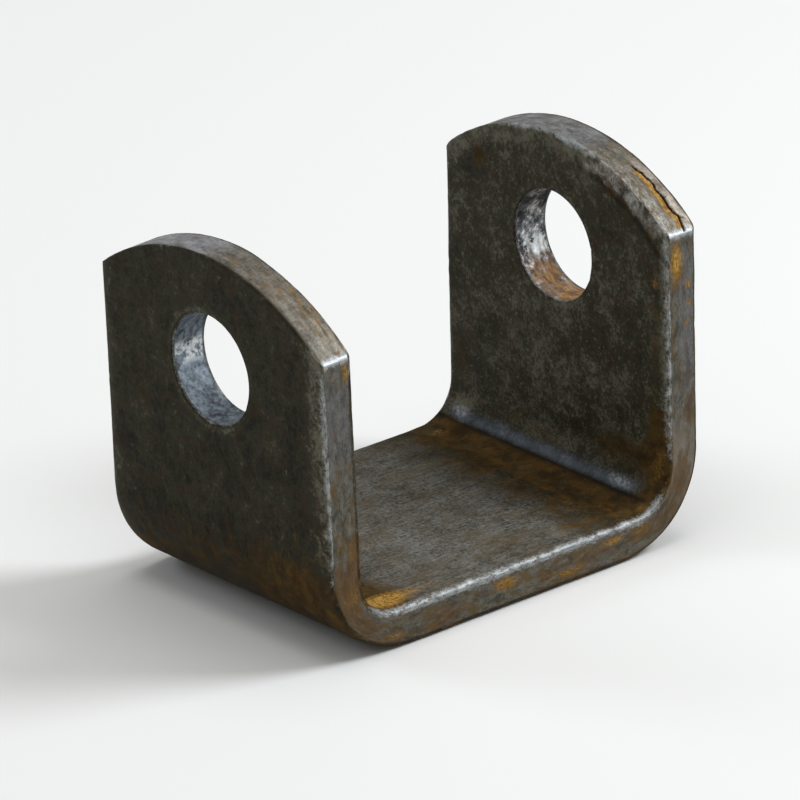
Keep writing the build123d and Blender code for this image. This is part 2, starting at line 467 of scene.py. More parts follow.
# pits in the scale
rng = np.random.default_rng(7)
order = np.argsort(u)
us = u[order]
for k in range(900):
    pu, py, pz = rng.uniform(-U_END, U_END), rng.uniform(-W / 2, W / 2), rng.integers(0, 2)
    pr, pd = rng.uniform(0.5, 1.3), rng.uniform(0.02, 0.09)
    i0, i1 = np.searchsorted(us, (pu - pr, pu + pr))
    w = order[i0:i1]
    d2 = ((u[w] - pu) ** 2 + (y[w] - py) ** 2) / pr ** 2
    press[w] += (zone[w] == pz) * pd * np.clip(1 - d2, 0, 1) ** 2
# knocks on the long edges
knocks = [(bend_u(60) + 0.6, -1, 5.9, 0.8, 0.35), (-62.0, -1, 0.2, 0.9, 0.2), (14.0, -1, 6.3, 0.9, 0.15), (-9.0, -1, 6.3, 0.7, 0.15),
          (-30.0, 1, 0.3, 1.2, 0.2), (5.0, 1, 0.2, 1.0, 0.2), (-70.0, 1, 6.2, 0.8, 0.2)]
for ku, ks, kt, kr, kd in knocks:
    d2 = ((u - ku) ** 2 + (y - ks * W / 2) ** 2 + (tau - kt) ** 2) / kr ** 2
    press += kd * np.clip(1 - d2 / 2, 0, 1) ** 2

co = co - normals(co) * press[:, None]

vol = 0
for tri in ((0, 1, 2), (0, 2, 3)):
    a, b, c = (co[quads[:, k]] for k in tri)
    vol += (a * np.cross(b, c)).sum() / 6
print("quads", len(quads), "verts", len(co), "volume mm3", round(float(vol), 1))

# --------------------------------------------------------------------------
# Where rust, wear and marks lie, and where light and shade are painted, as weights from 0 to 1 on the points
# --------------------------------------------------------------------------
K = 1.016
rust = 0.10 + 0.16 * n1(11, 101) + 0.08 * n1(4, 105)
orange = np.zeros_like(u)
wear_and_glint = np.zeros_like(u)
light = 0.10 * n1(9, 111)
dark = np.zeros_like(u)
burn = np.zeros_like(u)
gran = np.zeros_like(u)               # granular grey metal where the shears dragged the face over


def ear(s, hh, zz, rh, rz):
    return (side == s) * np.exp(-((h - hh * K) / rh) ** 2 - ((ez - zz * K) / rz) ** 2)


def base(xx, yy, rx, ry):
    return (au < EAR0) * np.exp(-((u - xx * K) / rx) ** 2 - ((y - yy * K) / ry) ** 2)


# outer faces
# lighter bands along the front and back edges of the outer faces, strongest on the left ear: painted sheen where the
# faces round over; a little lighter high up
light += outer * (np.where(side < 0, 1.50, 0.75) * step(20.0, 24.9, h + 1.1 * n1(3, 173)) * step(8, 26, ez + 5 * n1(5, 185)) * (0.82 + 0.5 * n1(2.2, 187)) * (au > 30) + 0.10 * step(40, 56, ez))
light += outer * 0.55 * step(20.8, 24.8, -h + 0.9 * n1(3, 183)) * (au > 30)
light += outer * (0.30 * ear(-1, -13, 30, 3.5, 1.4) + 0.25 * ear(-1, -9, 29.5, 1.6, 1.6) + 0.18 * ear(-1, 2, 33, 6, 2))
# a lighter ring round each hole: partly a rubbed rim; on the outer faces also a painted highlight that changes with the
# angle round the hole
ring = line(hole_d - 0.75, 0.5)
ang = np.arctan2(ez - HOLE_H, -y + HOLE_Y)
light += outer * ring * (0.35 + 0.35 * step(0.2, 0.9, np.cos(ang + 1.75)) + 0.4 * step(0.5, 0.95, np.cos(ang - 2.2)))
light += inner_ * ring * 0.25
low = step(23, 6, ez)
# the left ear's outer face painted darker: painted shade
light -= 0.22 * outer * (side < 0)
rust += outer * (low * (0.10 + 0.16 * step(-5, 18, h)) + 0.20 * ear(-1, 16, 13, 9, 8) + 0.10 * (au < EAR0))
rust += outer * (side > 0) * (0.25 * ear(1, -8, 20, 10, 9) + 0.2 * ear(1, 12, 44, 6, 9) + 0.2 * ear(1, 15, 10, 10, 6))
rust += outer * 0.22 * ear(-1, -20, 7, 7, 6)
# inner faces
# inner faces a touch lighter, the right ear's inner face lighter still and more so towards its foot: painted light;
# with lighter patches on it
light += inner_ * (0.14 + (side > 0) * (0.24 + 0.14 * step(26, 14, ez)) * (au > B) + 0.35 * ear(1, -2, 31, 9, 3.5) + 0.18 * ear(1, 0, 22, 16, 9))
light += inner_ * (side > 0) * step(4.5, 1.0, arc_d) * step(12, 0, h) * (0.75 + 0.6 * n1(2.4, 117))
rust += inner_ * (step(17, 6, ez) * 0.16 * (au > B) + 0.55 * ear(1, -17, 51, 1.5, 1.9) + 0.35 * ear(1, -22, 17, 2.5, 4))
rust += inner_ * (0.65 * ear(1, 22.5, 13, 3.2, 6) + 0.35 * ear(1, 14, 13, 6, 3) + 0.25 * ear(1, 22.5, 30, 1.5, 14))
orange += inner_ * (0.6 * ear(1, 22.6, 41.5, 0.8, 1.3) + 0.50 * ear(1, 23.0, 12, 2.0, 5.0) + 0.25 * ear(1, 15, 16, 1.2, 0.9))
# a light band along the right ear's inner front edge: painted highlight on the rounding
light += inner_ * 0.65 * step(23.6, 24.6, h) * (side > 0) * (ez > 14)
roll = inner_ * step(-1.0 * K, 12.0 * K, h) * (au > FIX)
gran += roll * step(4.3, 0.9, arc_d + 0.9 * n1(1.6, 121)) * (0.80 + 0.30 * n1(2.6, 119))
rim_dark = roll * line(arc_d - 3.3 - 0.4 * n1(2.0, 123), 0.5)
dark += 0.6 * rim_dark
rust += 0.7 * rim_dark * step(-0.1, 0.3, n1(1.6, 125)) + 0.35 * roll * step(4.5, 2.0, arc_d) * step(0.0, 0.5, n1(1.9, 127))
# inside bends
mark = inner_ * mark_y
burn += mark * step(36.0, 37.0, bend_deg) * step(68, 46, bend_deg)
burn += 0.35 * inner_ * step(-26, -20, y) * step(36, 40, bend_deg) * step(80, 60, bend_deg) * (1 - mark_y)
# a dark line along the crease in both inside bends: painted shade in the groove
dark += inner_ * line(bend_deg - 34.0, 4.6 + 1.4 * n1(4, 175)) * step(-24.5, -22.0, y) * (0.85 + 0.25 * n1(3, 177))
rust += inner_ * step(8, 22, bend_deg) * step(35.5, 33.5, bend_deg) * 0.20 * (au < EAR0)
rust += inner_ * step(20.5, 23.5, h) * step(30, 38, bend_deg) * 0.5 * (ez < 22)
orange += inner_ * step(19, 23, h) * step(15, 22, bend_deg) * step(34, 30, bend_deg) * 0.35 * (side > 0)
# a whitish blob at the back end and a lighter one at the front of the right ear's burnished band: painted highlights
light += 0.9 * inner_ * (side > 0) * np.exp(-((y - 21.2) / 1.8) ** 2 - ((bend_deg - 58) / 13) ** 2)
light += 0.45 * inner_ * (side > 0) * np.exp(-((h - 16) / 3) ** 2 - ((bend_deg - 50) / 9) ** 2)
# top of the base
rust += inner_ * (0.36 * step(8, 23, u + 3 * n1(7, 171)) * step(33, 27, u) * (0.9 + 0.8 * n1(3.2, 179)) + 0.45 * step(-16, -23, u) * step(-34, -28, u) + 0.2 * base(2, -20, 16, 4))
orange += inner_ * (0.5 * base(24.5, 20, 2.2, 2.6) + 0.75 * base(11, -11, 1.2, 0.55) + 0.3 * base(18, 9, 1.4, 0.9)
                    + 1.45 * base(-24.0, -21.2, 5.8, 2.4) + 0.3 * base(-14, -21, 5, 1.4) + 0.35 * base(20, -12, 3.5, 3))
# the top of the base painted lighter, most on its left half: painted light
light += inner_ * (au < 24) * 0.44 * step(23, 5, u)
# wear along the rims, with painted glints at the ear corners
front = y < 0
wear_and_glint += 0.16 * line(rim_in, 0.4) * (arc_d > 2.0) + 0.12 * line(rim_out, 0.4) * (arc_d > 1.5)
wear_and_glint += front * (0.76 * line(rim_in - 0.32, 0.86) * step(33.5, 29.5, au) * (0.85 + 0.35 * n1(3, 131)))
wear_and_glint += front * 0.58 * line(rim_in - 0.15, 0.75) * (0.75 + 0.8 * n1(1.6, 137, 3)) * (side > 0) * step(12, 18, ez) * step(30, 34, au)
wear_and_glint += front * 0.80 * line(rim_out - 0.05, 0.80) * (0.72 + 0.9 * n1(1.5, 135, 3)) * ~top * step(0.4, 1.6, arc_d) * (side < 0) * step(6, 26, ez) * step(30, 34, au)
wear_and_glint += front * 0.08 * line(rim_out, 0.5) * (au < 34)
wear_and_glint += (y > 0) * (0.45 * line(rim_in, 0.45) + 0.35 * line(rim_out, 0.4)) * step(-0.5, 0.6, n1(6, 133))
wear_and_glint += (top | (inner_ & (arc_d < 2.5))) * (side > 0) * 0.55 * line(rim_in - 0.2, 0.55) * step(-17, -9, h) * step(12, 5, h)
wear_and_glint += inner_ * (y > 0) * (side > 0) * 0.5 * line(long_d - 0.2, 0.6) * (au > 30)
# worn ear corners, weighted high enough to take a painted glint
wear_and_glint += 1.30 * line(corner_d, 0.62) * (top | edge) * step(0.2, 1.0, tau) * step(6.3, 5.6, tau)
wear_and_glint += (outer | inner_) * line(hole_d, 0.22) * 0.45
# front and back edges of the strap
rust += edge * (0.02 + 0.22 * n1(2.6, 141) + 0.06 * (au < 32))
cool = edge * (0.62 * front * (side < 0) * line(ez - 40, 8) + 0.70 * front * (side > 0) * line(ez - 36, 12) * step(4.6, 2.8, tau))
E_SPOTS = [  # u, tau, reach along, reach through, orange, rust
    (-2.5, 4.1, 2.3, 1.1, 0.80, 0.3), (18.5, 4.4, 1.6, 0.6, 0.75, 0.2), (10, 2.0, 2.2, 0.6, 0.65, 0.2), (-23.5, 2.0, 1.5, 0.6, 0.6, 0.2),
    (5.0, 3.0, 2.0, 0.8, 0.35, 0.3), (14.0, 3.6, 3.0, 1.0, 0.25, 0.35), (24.5, 4.3, 2.6, 1.3, 0.45, 0.3), (-13.0, 3.1, 3.0, 0.9, 0.15, 0.4),
    (-17.0, 1.7, 2.0, 0.8, 0.3, 0.4), (-30.0, 2.8, 4.0, 1.6, 0.15, 0.45), (33.0, 3.0, 5.0, 2.0, 0.05, 0.4)]
for cu_, ct2, ru_, rt_, am_o, am_r in E_SPOTS:
    g = edge * front * np.exp(-((u - cu_ * K) / ru_ / 1.35) ** 2 - ((tau - ct2) / rt_ / 1.3) ** 2)
    orange += am_o * g
    rust += am_r * g
EAR_E_SPOTS = [  # side, height, tau, reach up, reach through, orange, rust
    (-1, 46.6, 5.0, 2.2, 1.0, 0.85, 0.2), (-1, 18.5, 4.6, 3.4, 1.0, 0.38, 0.4), (-1, 11.0, 4.2, 3.2, 1.6, 0.42, 0.45), (-1, 29.0, 1.4, 2.4, 0.9, 0.16, 0.4),
    (-1, 12.0, 1.6, 4.0, 1.4, 0.15, 0.4), (-1, 24.0, 4.8, 1.2, 0.7, 0.25, 0.2), (-1, 14.5, 3.0, 6.5, 2.6, 0.08, 0.30), (-1, 31.5, 3.2, 1.6, 1.1, 0.30, 0.3),
    (1, 45.2, 4.2, 3.6, 1.35, 1.10, 0.3), (1, 41.0, 1.9, 0.9, 0.70, 0.90, 0.2), (1, 38.2, 1.7, 0.8, 0.65, 0.85, 0.2), (1, 35.0, 2.3, 0.8, 0.8, 0.75, 0.2),
    (1, 20.5, 1.7, 3.6, 1.2, 0.15, 0.35), (1, 36.0, 5.4, 6.0, 0.5, 0.32, 0.2), (1, 27.0, 3.5, 3.0, 1.4, 0.10, 0.2), (1, 12.0, 3.0, 4.0, 2.2, 0.10, 0.2)]
for s_, cz_, ct2, rz_, rt_, am_o, am_r in EAR_E_SPOTS:
    g = edge * front * (side == s_) * np.exp(-((ez - cz_ * K) / rz_) ** 2 - ((tau - ct2) / rt_) ** 2)
    orange += am_o * g
    rust += am_r * g
rust += edge * ~front * 0.22 * (1 + n1(3.5, 143))
orange += edge * ~front * 0.45 * step(0.25, 0.7, n1(5, 145))
rust *= 1 - 0.85 * np.clip(burn, 0, 1)
# tops
# the back half of the left top and the rear of the right top get a cooler colour: a painted bluish sheen; the right
# top's rear is also darker
painted_top_sheen = top * (step(-3, 4, y) * 0.8 * (side < 0) + (side > 0) * step(-9, -4, y) * 0.6)
dark += top * (side > 0) * 0.24 * step(-9, -4, y)
rust += top * (0.12 + 0.10 * n1(2.2, 151, 2, (1, 1, 0.3)))
orange += top * (side < 0) * step(6, 11, h) * (0.25 + 0.75 * step(1.5, 5.0, tau)) * step(-0.25, 0.45, n1(1.7, 153, 3)) * 0.72
dark += top * (side < 0) * 0.5 * step(0.15, 0.6, n1(3.0, 155)) * step(2.0, 4.5, tau)
strip = crack_on * step(-0.05, 0.12, tau - crack_at) * step(1.25, 0.85, tau - crack_at + 0.25 * n1(1.4, 157)) * step(-12.5, -15.5, y)
orange += 1.1 * strip
gran += top * (side > 0) * step(2.7, 4.4, tau + 0.8 * n1(2.0, 159)) * step(2, 11, h) * (1 - strip)
light += top * (side > 0) * 0.9 * step(8, 14, h) * step(2.6, 1.2, tau + 0.5 * n1(1.8, 161))
dark += top * 0.55 * line(rim_out - 0.2, 0.35) * (side < 0)
# bores
rust += bore * (side > 0) * 0.30 * step(0.0, 0.8, -np.sin(np.arctan2(ez - HOLE_H, y - HOLE_Y)))
rust += bore * 0.12 * (1 + n1(2.5, 163))
orange += bore * (side > 0) * ((0.45 + 0.6 * step(-0.25, 0.4, n1(1.8, 165))) * step(0.25, 0.9, -np.sin(np.arctan2(ez - HOLE_H, y - HOLE_Y))))
th = np.degrees(np.arctan2(ez - HOLE_H, y - HOLE_Y))
# the bore walls darker by the angle round the bore: painted shade, with dark spots in it
dark += bore * (side < 0) * np.maximum(0.80 * step(0.02, 0.28, n1(1.5, 167)) * step(-8, 14, th), 0.30 * step(15, 55, th) + 0.40 * step(-12, -42, th))
dark += bore * (side > 0) * (0.66 * step(-4, 32, th) + 0.7 * step(0.15, 0.45, n1(1.4, 169)) * step(-60, 20, th))
# a bright band round each bore at a set angle: painted highlight
light += bore * 1.1 * np.where(side < 0, np.exp(-((th + 3) / 13) ** 2), 0.8 * np.exp(-((th + 22) / 15) ** 2))

light += edge * front * (side > 0) * 0.55 * line(ez - 14, 9)
mesh = bpy.data.meshes.new("u_bracket_steel")
mesh.from_pydata((co * 0.001).tolist(), [], quads.tolist())
mesh.update()
for poly in mesh.polygons:
    poly.use_smooth = True


def paint(name, *chan):
    at = mesh.attributes.new(name, "FLOAT_VECTOR", "POINT")
    at.data.foreach_set("vector", np.stack([np.asarray(c, float) for c in chan], -1).astype(np.float32).ravel())


paint("flat", u, y, tau)
# m_rust holds rust, orange rust, and wear with painted glints
paint("m_rust", np.clip(rust, 0, 1.5), np.clip(orange, 0, 1.5), np.clip(wear_and_glint, 0, 1.5))
# m_tone holds lighter tone with painted light, darkening with painted shade, and the burnish
paint("m_tone", np.clip(light, -1, 1.5), np.clip(dark, 0, 1), np.clip(burn, 0, 1))
paint("m_zone", edge, top, bore)
paint("m_more", np.clip(gran, 0, 1), np.clip(cool + painted_top_sheen, 0, 1), np.clip(crack_on, 0, 1))
piece = bpy.data.objects.new("u_bracket_steel", mesh)
bpy.context.scene.collection.objects.link(piece)

# --------------------------------------------------------------------------
# One layered steel: mill scale, rust, sheared metal, worn metal, with painted light and shade
# --------------------------------------------------------------------------
mat = bpy.data.materials.new("raw_hot_rolled_steel")
mat.use_nodes = True
tree = mat.node_tree
tree.nodes.clear()


def node(kind, **props):
    n = tree.nodes.new(kind)
    for k, v in props.items():
        setattr(n, k, v)
    return n


def put(sock, v):
    if isinstance(v, bpy.types.NodeSocket):
        tree.links.new(v, sock)
    elif isinstance(v, (tuple, list)) and len(v) == 3 and sock.type == "RGBA":
        sock.default_value = (*v, 1)
    else:
        sock.default_value = v


def m(op, a, b=0.0, c=0.0, clamp=False):
    n = node("ShaderNodeMath", operation=op, use_clamp=clamp)
    for sock, v in zip(n.inputs, (a, b, c)):
        put(sock, v)
    return n.outputs[0]


def add_(a, b): return m("ADD", a, b)
def sub_(a, b): return m("SUBTRACT", a, b)
def mul(a, b): return m("MULTIPLY", a, b)
def mad(a, b, c): return m("MULTIPLY_ADD", a, b, c)


def ss(x, lo, hi, a=0.0, b=1.0):
    n = node("ShaderNodeMapRange", interpolation_type="SMOOTHSTEP")
    for name, v in (("Value", x), ("From Min", lo), ("From Max", hi), ("To Min", a), ("To Max", b)):
        put(n.inputs[name], v)
    return n.outputs[0]


def mix(f, a, b):
    n = node("ShaderNodeMix", data_type="RGBA", clamp_factor=True)
    put(n.inputs[0], f)
    put(n.inputs[6], a)
    put(n.inputs[7], b)
    return n.outputs[2]


def lerp(f, a, b):
    n = node("ShaderNodeMix", data_type="FLOAT", clamp_factor=True)
    put(n.inputs[0], f)
    put(n.inputs[2], a)
    put(n.inputs[3], b)
    return n.outputs[0]


def attr(name):
    a = node("ShaderNodeAttribute", attribute_name=name, attribute_type="GEOMETRY").outputs["Vector"]
    n = node("ShaderNodeSeparateXYZ")
    tree.links.new(a, n.inputs[0])
    return a, n.outputs[0], n.outputs[1], n.outputs[2]


def noise_at(vec, size, detail=2.0, rough=0.5, stretch=None, warp=0.0):
    v = node("ShaderNodeVectorMath", operation="MULTIPLY")
    put(v.inputs[0], vec)
    st = stretch or (1, 1, 1)
    v.inputs[1].default_value = tuple(k / size for k in st)
    n = node("ShaderNodeTexNoise", noise_dimensions="3D", normalize=True)
    tree.links.new(v.outputs[0], n.inputs["Vector"])
    n.inputs["Scale"].default_value = 1.0
    n.inputs["Detail"].default_value = detail
    n.inputs["Roughness"].default_value = rough
    n.inputs["Distortion"].default_value = warp
    return n.outputs[0]


def cells(vec, size, out="Distance", stretch=None, feature="F1"):
    v = node("ShaderNodeVectorMath", operation="MULTIPLY")
    put(v.inputs[0], vec)
    v.inputs[1].default_value = tuple(k / size for k in (stretch or (1, 1, 1)))
    n = node("ShaderNodeTexVoronoi", voronoi_dimensions="3D", feature=feature)
    tree.links.new(v.outputs[0], n.inputs["Vector"])
    n.inputs["Scale"].default_value = 1.0
    return n.outputs[out]


flat_v, fu, fy, ft = attr("flat")
b_mid = noise_at(flat_v, 3.0, 4, 0.6, warp=0.5)
b_soft = noise_at(flat_v, 1.9, 3, 0.6)
b_fine = noise_at(flat_v, 0.6, 3, 0.6)
_, a_rust, a_orange, a_wear_and_glint = attr("m_rust")
_, a_light, a_dark, a_burn = attr("m_tone")
_, z_edge, z_top, z_bore = attr("m_zone")
_, a_gran, a_cool_and_sheen, a_crack = attr("m_more")

sc_ = node("ShaderNodeVectorMath", operation="MULTIPLY")
put(sc_.inputs[0], flat_v)
sc_.inputs[1].default_value = (1, 1, 2.3)
vec = sc_.outputs[0]

big = noise_at(vec, 10.0, 3, 0.55)
mid = noise_at(vec, 2.8, 4, 0.6)
mid2 = noise_at(vec, 1.7, 3, 0.6, warp=0.4)
fine = noise_at(vec, 0.62, 3, 0.6)
grain = noise_at(vec, 0.27, 2, 0.6)
grain2 = noise_at(vec, 0.34, 2, 0.55, stretch=(1, 1, 1.3))
roll_ = noise_at(vec, 0.42, 3, 0.6, stretch=(0.10, 1, 1))      # along the strap
roll_fine = noise_at(vec, 0.2, 2, 0.5, stretch=(0.07, 1, 1))
drag = noise_at(vec, 0.40, 3, 0.6, stretch=(1, 1, 0.12))        # across the thickness, on cut faces
swirl = noise_at(vec, 0.5, 2, 0.5, stretch=(0.25, 1, 1), warp=1.2)

# ---- mill scale: dark olive, blotched, with fine lighter specks ----------
patch = noise_at(vec, 5.2, 3, 0.6, warp=0.5)
scale_tone_and_light = mad(sub_(big, 0.5), 0.5, mad(sub_(patch, 0.5), 0.75, mad(sub_(mid2, 0.5), 0.85, mad(sub_(fine, 0.5), 0.95, mad(sub_(grain, 0.5), 0.6, 0.5)))))
# the scale lighter or darker by a_light: random tone, and painted light and shade where that weight carries it
scale_tone_and_light = mad(a_light, 0.42, scale_tone_and_light)
scale_c = mix(ss(scale_tone_and_light, 0.08, 0.66), (0.0050, 0.0045, 0.0018), (0.031, 0.0285, 0.0150))
scale_c = mix(ss(scale_tone_and_light, 0.58, 1.10), scale_c, (0.130, 0.122, 0.088))
# olive and red-brown casts
cast = noise_at(vec, 3.6, 3, 0.6, warp=0.5)
scale_c = mix(ss(cast, 0.50, 0.70, 0.0, 0.55), scale_c, (0.038, 0.0180, 0.0070))
scale_c = mix(ss(noise_at(vec, 1.2, 2, 0.6), 0.50, 0.72, 0.0, 0.6), scale_c, (0.024, 0.025, 0.0050))
# specks where the scale is scuffed
speck = mul(ss(fine, 0.60, 0.70), ss(grain, 0.46, 0.60))
scale_c = mix(mul(speck, ss(a_light, -0.05, 0.5, 0.10, 0.75)), scale_c, (0.150, 0.145, 0.118))
# rolling direction: fine scratches rubbed bright on the top of the base
on_base = ss(m("ABSOLUTE", mad(sub_(noise_at(vec, 7.0, 2, 0.5), 0.5), 10.0, add_(fu, 3.0))), 24.0, 13.0)
scr = mul(mul(ss(roll_, 0.56, 0.70), ss(mid2, 0.40, 0.62)), on_base)
scr = mul(scr, sub_(1.0, m("MAXIMUM", z_edge, z_top)))
rub = mul(on_base, sub_(1.0, m("MAXIMUM", m("MAXIMUM", z_edge, z_top), ss(ft, 3.0, 2.0))))
rub_n = mad(sub_(swirl, 0.5), 0.5, mad(sub_(roll_, 0.5), 0.55, mad(sub_(mid, 0.5), 0.7, mad(sub_(fine, 0.5), 1.1, mul(sub_(grain, 0.5), 1.0)))))
rub_c = mix(ss(rub_n, -0.45, 0.35), (0.038, 0.035, 0.028), (0.185, 0.178, 0.160))
rub_c = mix(ss(rub_n, 0.25, 0.75), rub_c, (0.37, 0.367, 0.36))
rub_c = mix(ss(noise_at(vec, 5.0, 4, 0.65, stretch=(0.6, 1, 1)), 0.42, 0.66, 0.0, 0.55), rub_c, (0.088, 0.062, 0.030))
scale_c = mix(mul(rub, mad(sub_(patch, 0.5), 0.9, 0.80)), scale_c, rub_c)
scale_c = mix(mul(scr, ss(a_light, 0.0, 0.5, 0.10, 0.40)), scale_c, (0.25, 0.25, 0.24))

# ---- rust ----------------------------------------------------------------
rn = mad(sub_(mid2, 0.5), 1.0, mad(sub_(fine, 0.5), 0.45, mul(sub_(big, 0.5), 0.5)))
rust_m = ss(add_(a_rust, mul(rn, 0.75)), 0.20, 0.62)
rust_c = mix(ss(mid, 0.35, 0.62), (0.028, 0.0155, 0.0030), (0.070, 0.0370, 0.0070))
rust_c = mix(ss(noise_at(vec, 2.0, 4, 0.65), 0.48, 0.74, 0.0, 0.8), rust_c, (0.115, 0.056, 0.0100))
or_m = mul(ss(add_(a_orange, mul(rn, 0.60)), 0.20, 0.95), 0.9)
or_c = mix(ss(fine, 0.36, 0.64), (0.16, 0.078, 0.012), (0.36, 0.200, 0.040))
or_c = mix(ss(mid, 0.55, 0.75, 0.0, 0.6), or_c, (0.42, 0.27, 0.10))
or_c = mix(mul(z_bore, 0.8), or_c, (0.36, 0.20, 0.10))
or_c = mix(ss(a_orange, 0.75, 1.05, 0.0, 0.65), or_c, mix(ss(fine, 0.38, 0.62), (0.26, 0.130, 0.022), (0.58, 0.345, 0.085)))

# ---- metal: edges of the strap, sheared tops, granular rims, bores ---------
edge_n = mad(sub_(mid, 0.5), 1.3, mad(sub_(fine, 0.5), 0.9, mul(sub_(grain, 0.5), 0.5)))
edge_c = mix(ss(edge_n, -0.42, 0.30), (0.042, 0.039, 0.029), (0.155, 0.146, 0.120))
edge_c = mix(ss(edge_n, 0.22, 0.62), edge_c, (0.30, 0.29, 0.26))
edge_c = mix(ss(noise_at(vec, 2.2, 3, 0.6, warp=0.6), 0.46, 0.66, 0.0, 0.8), edge_c, (0.110, 0.070, 0.024))
edge_c = mix(ss(noise_at(vec, 3.1, 3, 0.6, warp=0.8), 0.52, 0.68, 0.0, 0.75), edge_c, (0.036, 0.040, 0.034))
edge_c = mix(mul(mul(z_edge, ss(a_light, 0.2, 0.8)), 0.8), edge_c, (0.23, 0.215, 0.185))
edge_c = mix(mul(a_cool_and_sheen, 0.75), edge_c, mix(ss(edge_n, -0.4, 0.5), (0.060, 0.066, 0.078), (0.20, 0.21, 0.235)))
top_n = mad(sub_(drag, 0.5), 0.6, mad(sub_(mid, 0.5), 1.5, mad(sub_(fine, 0.5), 0.8, mul(sub_(grain, 0.5), 0.4))))
top_c = mix(ss(top_n, -0.40, 0.30), (0.085, 0.078, 0.064), (0.23, 0.212, 0.178))
top_c = mix(ss(top_n, 0.15, 0.65), top_c, (0.44, 0.405, 0.350))
top_c = mix(ss(noise_at(vec, 2.4, 3, 0.6, warp=0.5), 0.50, 0.66, 0.0, 0.6), top_c, (0.17, 0.118, 0.062))
# cooler colour on the tops: a painted bluish sheen
top_c = mix(mul(a_cool_and_sheen, 0.9), top_c, mix(ss(top_n, -0.4, 0.5), (0.16, 0.168, 0.188), (0.47, 0.485, 0.52)))
top_c = mix(ss(a_light, 0.2, 0.9, 0.0, 0.85), top_c, mix(ss(top_n, -0.4, 0.35), (0.20, 0.165, 0.132), (0.52, 0.465, 0.410)))
gran_c = mix(ss(mad(grain2, 0.35, mad(fine, 0.45, mul(mid2, 0.4))), 0.46, 0.76), (0.095, 0.090, 0.075), (0.44, 0.425, 0.38))
gran_c = mix(ss(noise_at(vec, 1.6, 3, 0.6, warp=0.5), 0.42, 0.62, 0.0, 0.72), gran_c, (0.115, 0.078, 0.040))
bore_n = mad(sub_(b_mid, 0.5), 1.5, mul(sub_(b_fine, 0.5), 1.1))
bore_c = mix(ss(bore_n, -0.45, 0.45), (0.060, 0.074, 0.090), (0.40, 0.470, 0.54))
bore_r = mad(sub_(b_soft, 0.5), 2.0, mul(sub_(b_fine, 0.5), 1.2))
bore_rc = mix(ss(bore_r, -0.30, 0.30), (0.050, 0.055, 0.066), (0.34, 0.345, 0.36))
bore_rc = mix(ss(bore_r, 0.10, 0.42), bore_rc, (0.86, 0.84, 0.81))
bore_c = mix(ss(fu, -1.0, 1.0), bore_c, bore_rc)
# bright metal along the bores' painted highlight band
bore_c = mix(mul(ss(a_light, 0.2, 0.9), ss(bore_r, -0.25, 0.20)), bore_c, (0.80, 0.83, 0.85))
burnish_and_sheen_c = mix(ss(mad(fine, 0.4, mad(mid, 0.4, mul(roll_, 0.2))), 0.38, 0.66), (0.024, 0.027, 0.031), (0.072, 0.083, 0.098))
bare_and_glint_c = mix(ss(add_(mul(grain, 0.5), mul(mid2, 0.5)), 0.36, 0.62), (0.165, 0.170, 0.168), (0.39, 0.405, 0.405))
# where the wear weight passes 0.98, mostly at the ear corners, the bare metal turns near-white: a painted glint
bare_and_glint_c = mix(ss(a_wear_and_glint, 0.98, 1.30), bare_and_glint_c, (0.70, 0.73, 0.77))

# ---- build the layers up ---------------------------------------------------
# the burnished band turned lighter where a_light is high: painted highlights at its ends
burnish_and_sheen_c = mix(ss(a_light, 0.50, 1.2, 0.0, 0.75), burnish_and_sheen_c, mix(ss(fine, 0.4, 0.65), (0.12, 0.13, 0.145), (0.40, 0.41, 0.43)))
burn_m = mul(ss(add_(a_burn, mul(sub_(mid, 0.5), 0.7)), 0.15, 1.0), 0.9)
gran_m = mul(ss(add_(a_gran, mul(add_(sub_(mid, 0.5), sub_(mid2, 0.5)), 1.3)), 0.25, 0.95), 0.9)
wear_and_glint_m = ss(add_(a_wear_and_glint, mad(sub_(fine, 0.5), 0.9, mad(sub_(mid2, 0.5), 0.9, mul(sub_(grain, 0.5), 0.3)))), 0.20, 0.95)

colour = scale_c
colour = mix(burn_m, colour, burnish_and_sheen_c)
colour = mix(z_edge, colour, edge_c)
colour = mix(z_top, colour, top_c)
colour = mix(z_bore, colour, bore_c)
colour = mix(gran_m, colour, gran_c)
face_like = sub_(1.0, m("MAXIMUM", z_edge, m("MAXIMUM", z_top, z_bore)))
rust_k = mul(rust_m, mad(face_like, 0.14, 0.78))
colour = mix(rust_k, colour, mix(face_like, mix(0.45, rust_c, (0.155, 0.085, 0.036)), rust_c))
colour = mix(or_m, colour, or_c)
colour = mix(wear_and_glint_m, colour, bare_and_glint_c)
# near-black where a_dark is set: dark marks, and painted shade in the inside bends' creases and the bores
colour = mix(mul(a_dark, 0.90), colour, (0.008, 0.007, 0.005))

# ---- the split: a dark line on the strap's own coordinates, with branches ----
ramp = node("ShaderNodeValToRGB")
CR0, CR1 = -26.0, -12.6
cr = ramp.color_ramp
cr.interpolation = "LINEAR"
pts = [((yy - CR0) / (CR1 - CR0), tt / T) for yy, tt in CRACK]
cr.elements[0].position, cr.elements[1].position = pts[0][0], pts[-1][0]
for el, (_, v) in zip((cr.elements[0], cr.elements[1]), (pts[0], pts[-1])):
    el.color = (v, v, v, 1)
for pos, v in pts[1:-1]:
    el = cr.elements.new(pos)
    el.color = (v, v, v, 1)
tree.links.new(m("DIVIDE", sub_(fy, CR0), CR1 - CR0), ramp.inputs[0])
ct = add_(mul(ramp.outputs[0], T), mul(sub_(noise_at(vec, 0.5, 2, 0.6), 0.5), 0.35))
cd = m("ABSOLUTE", sub_(ft, ct))
split = mul(ss(cd, 0.22, 0.07), a_crack)
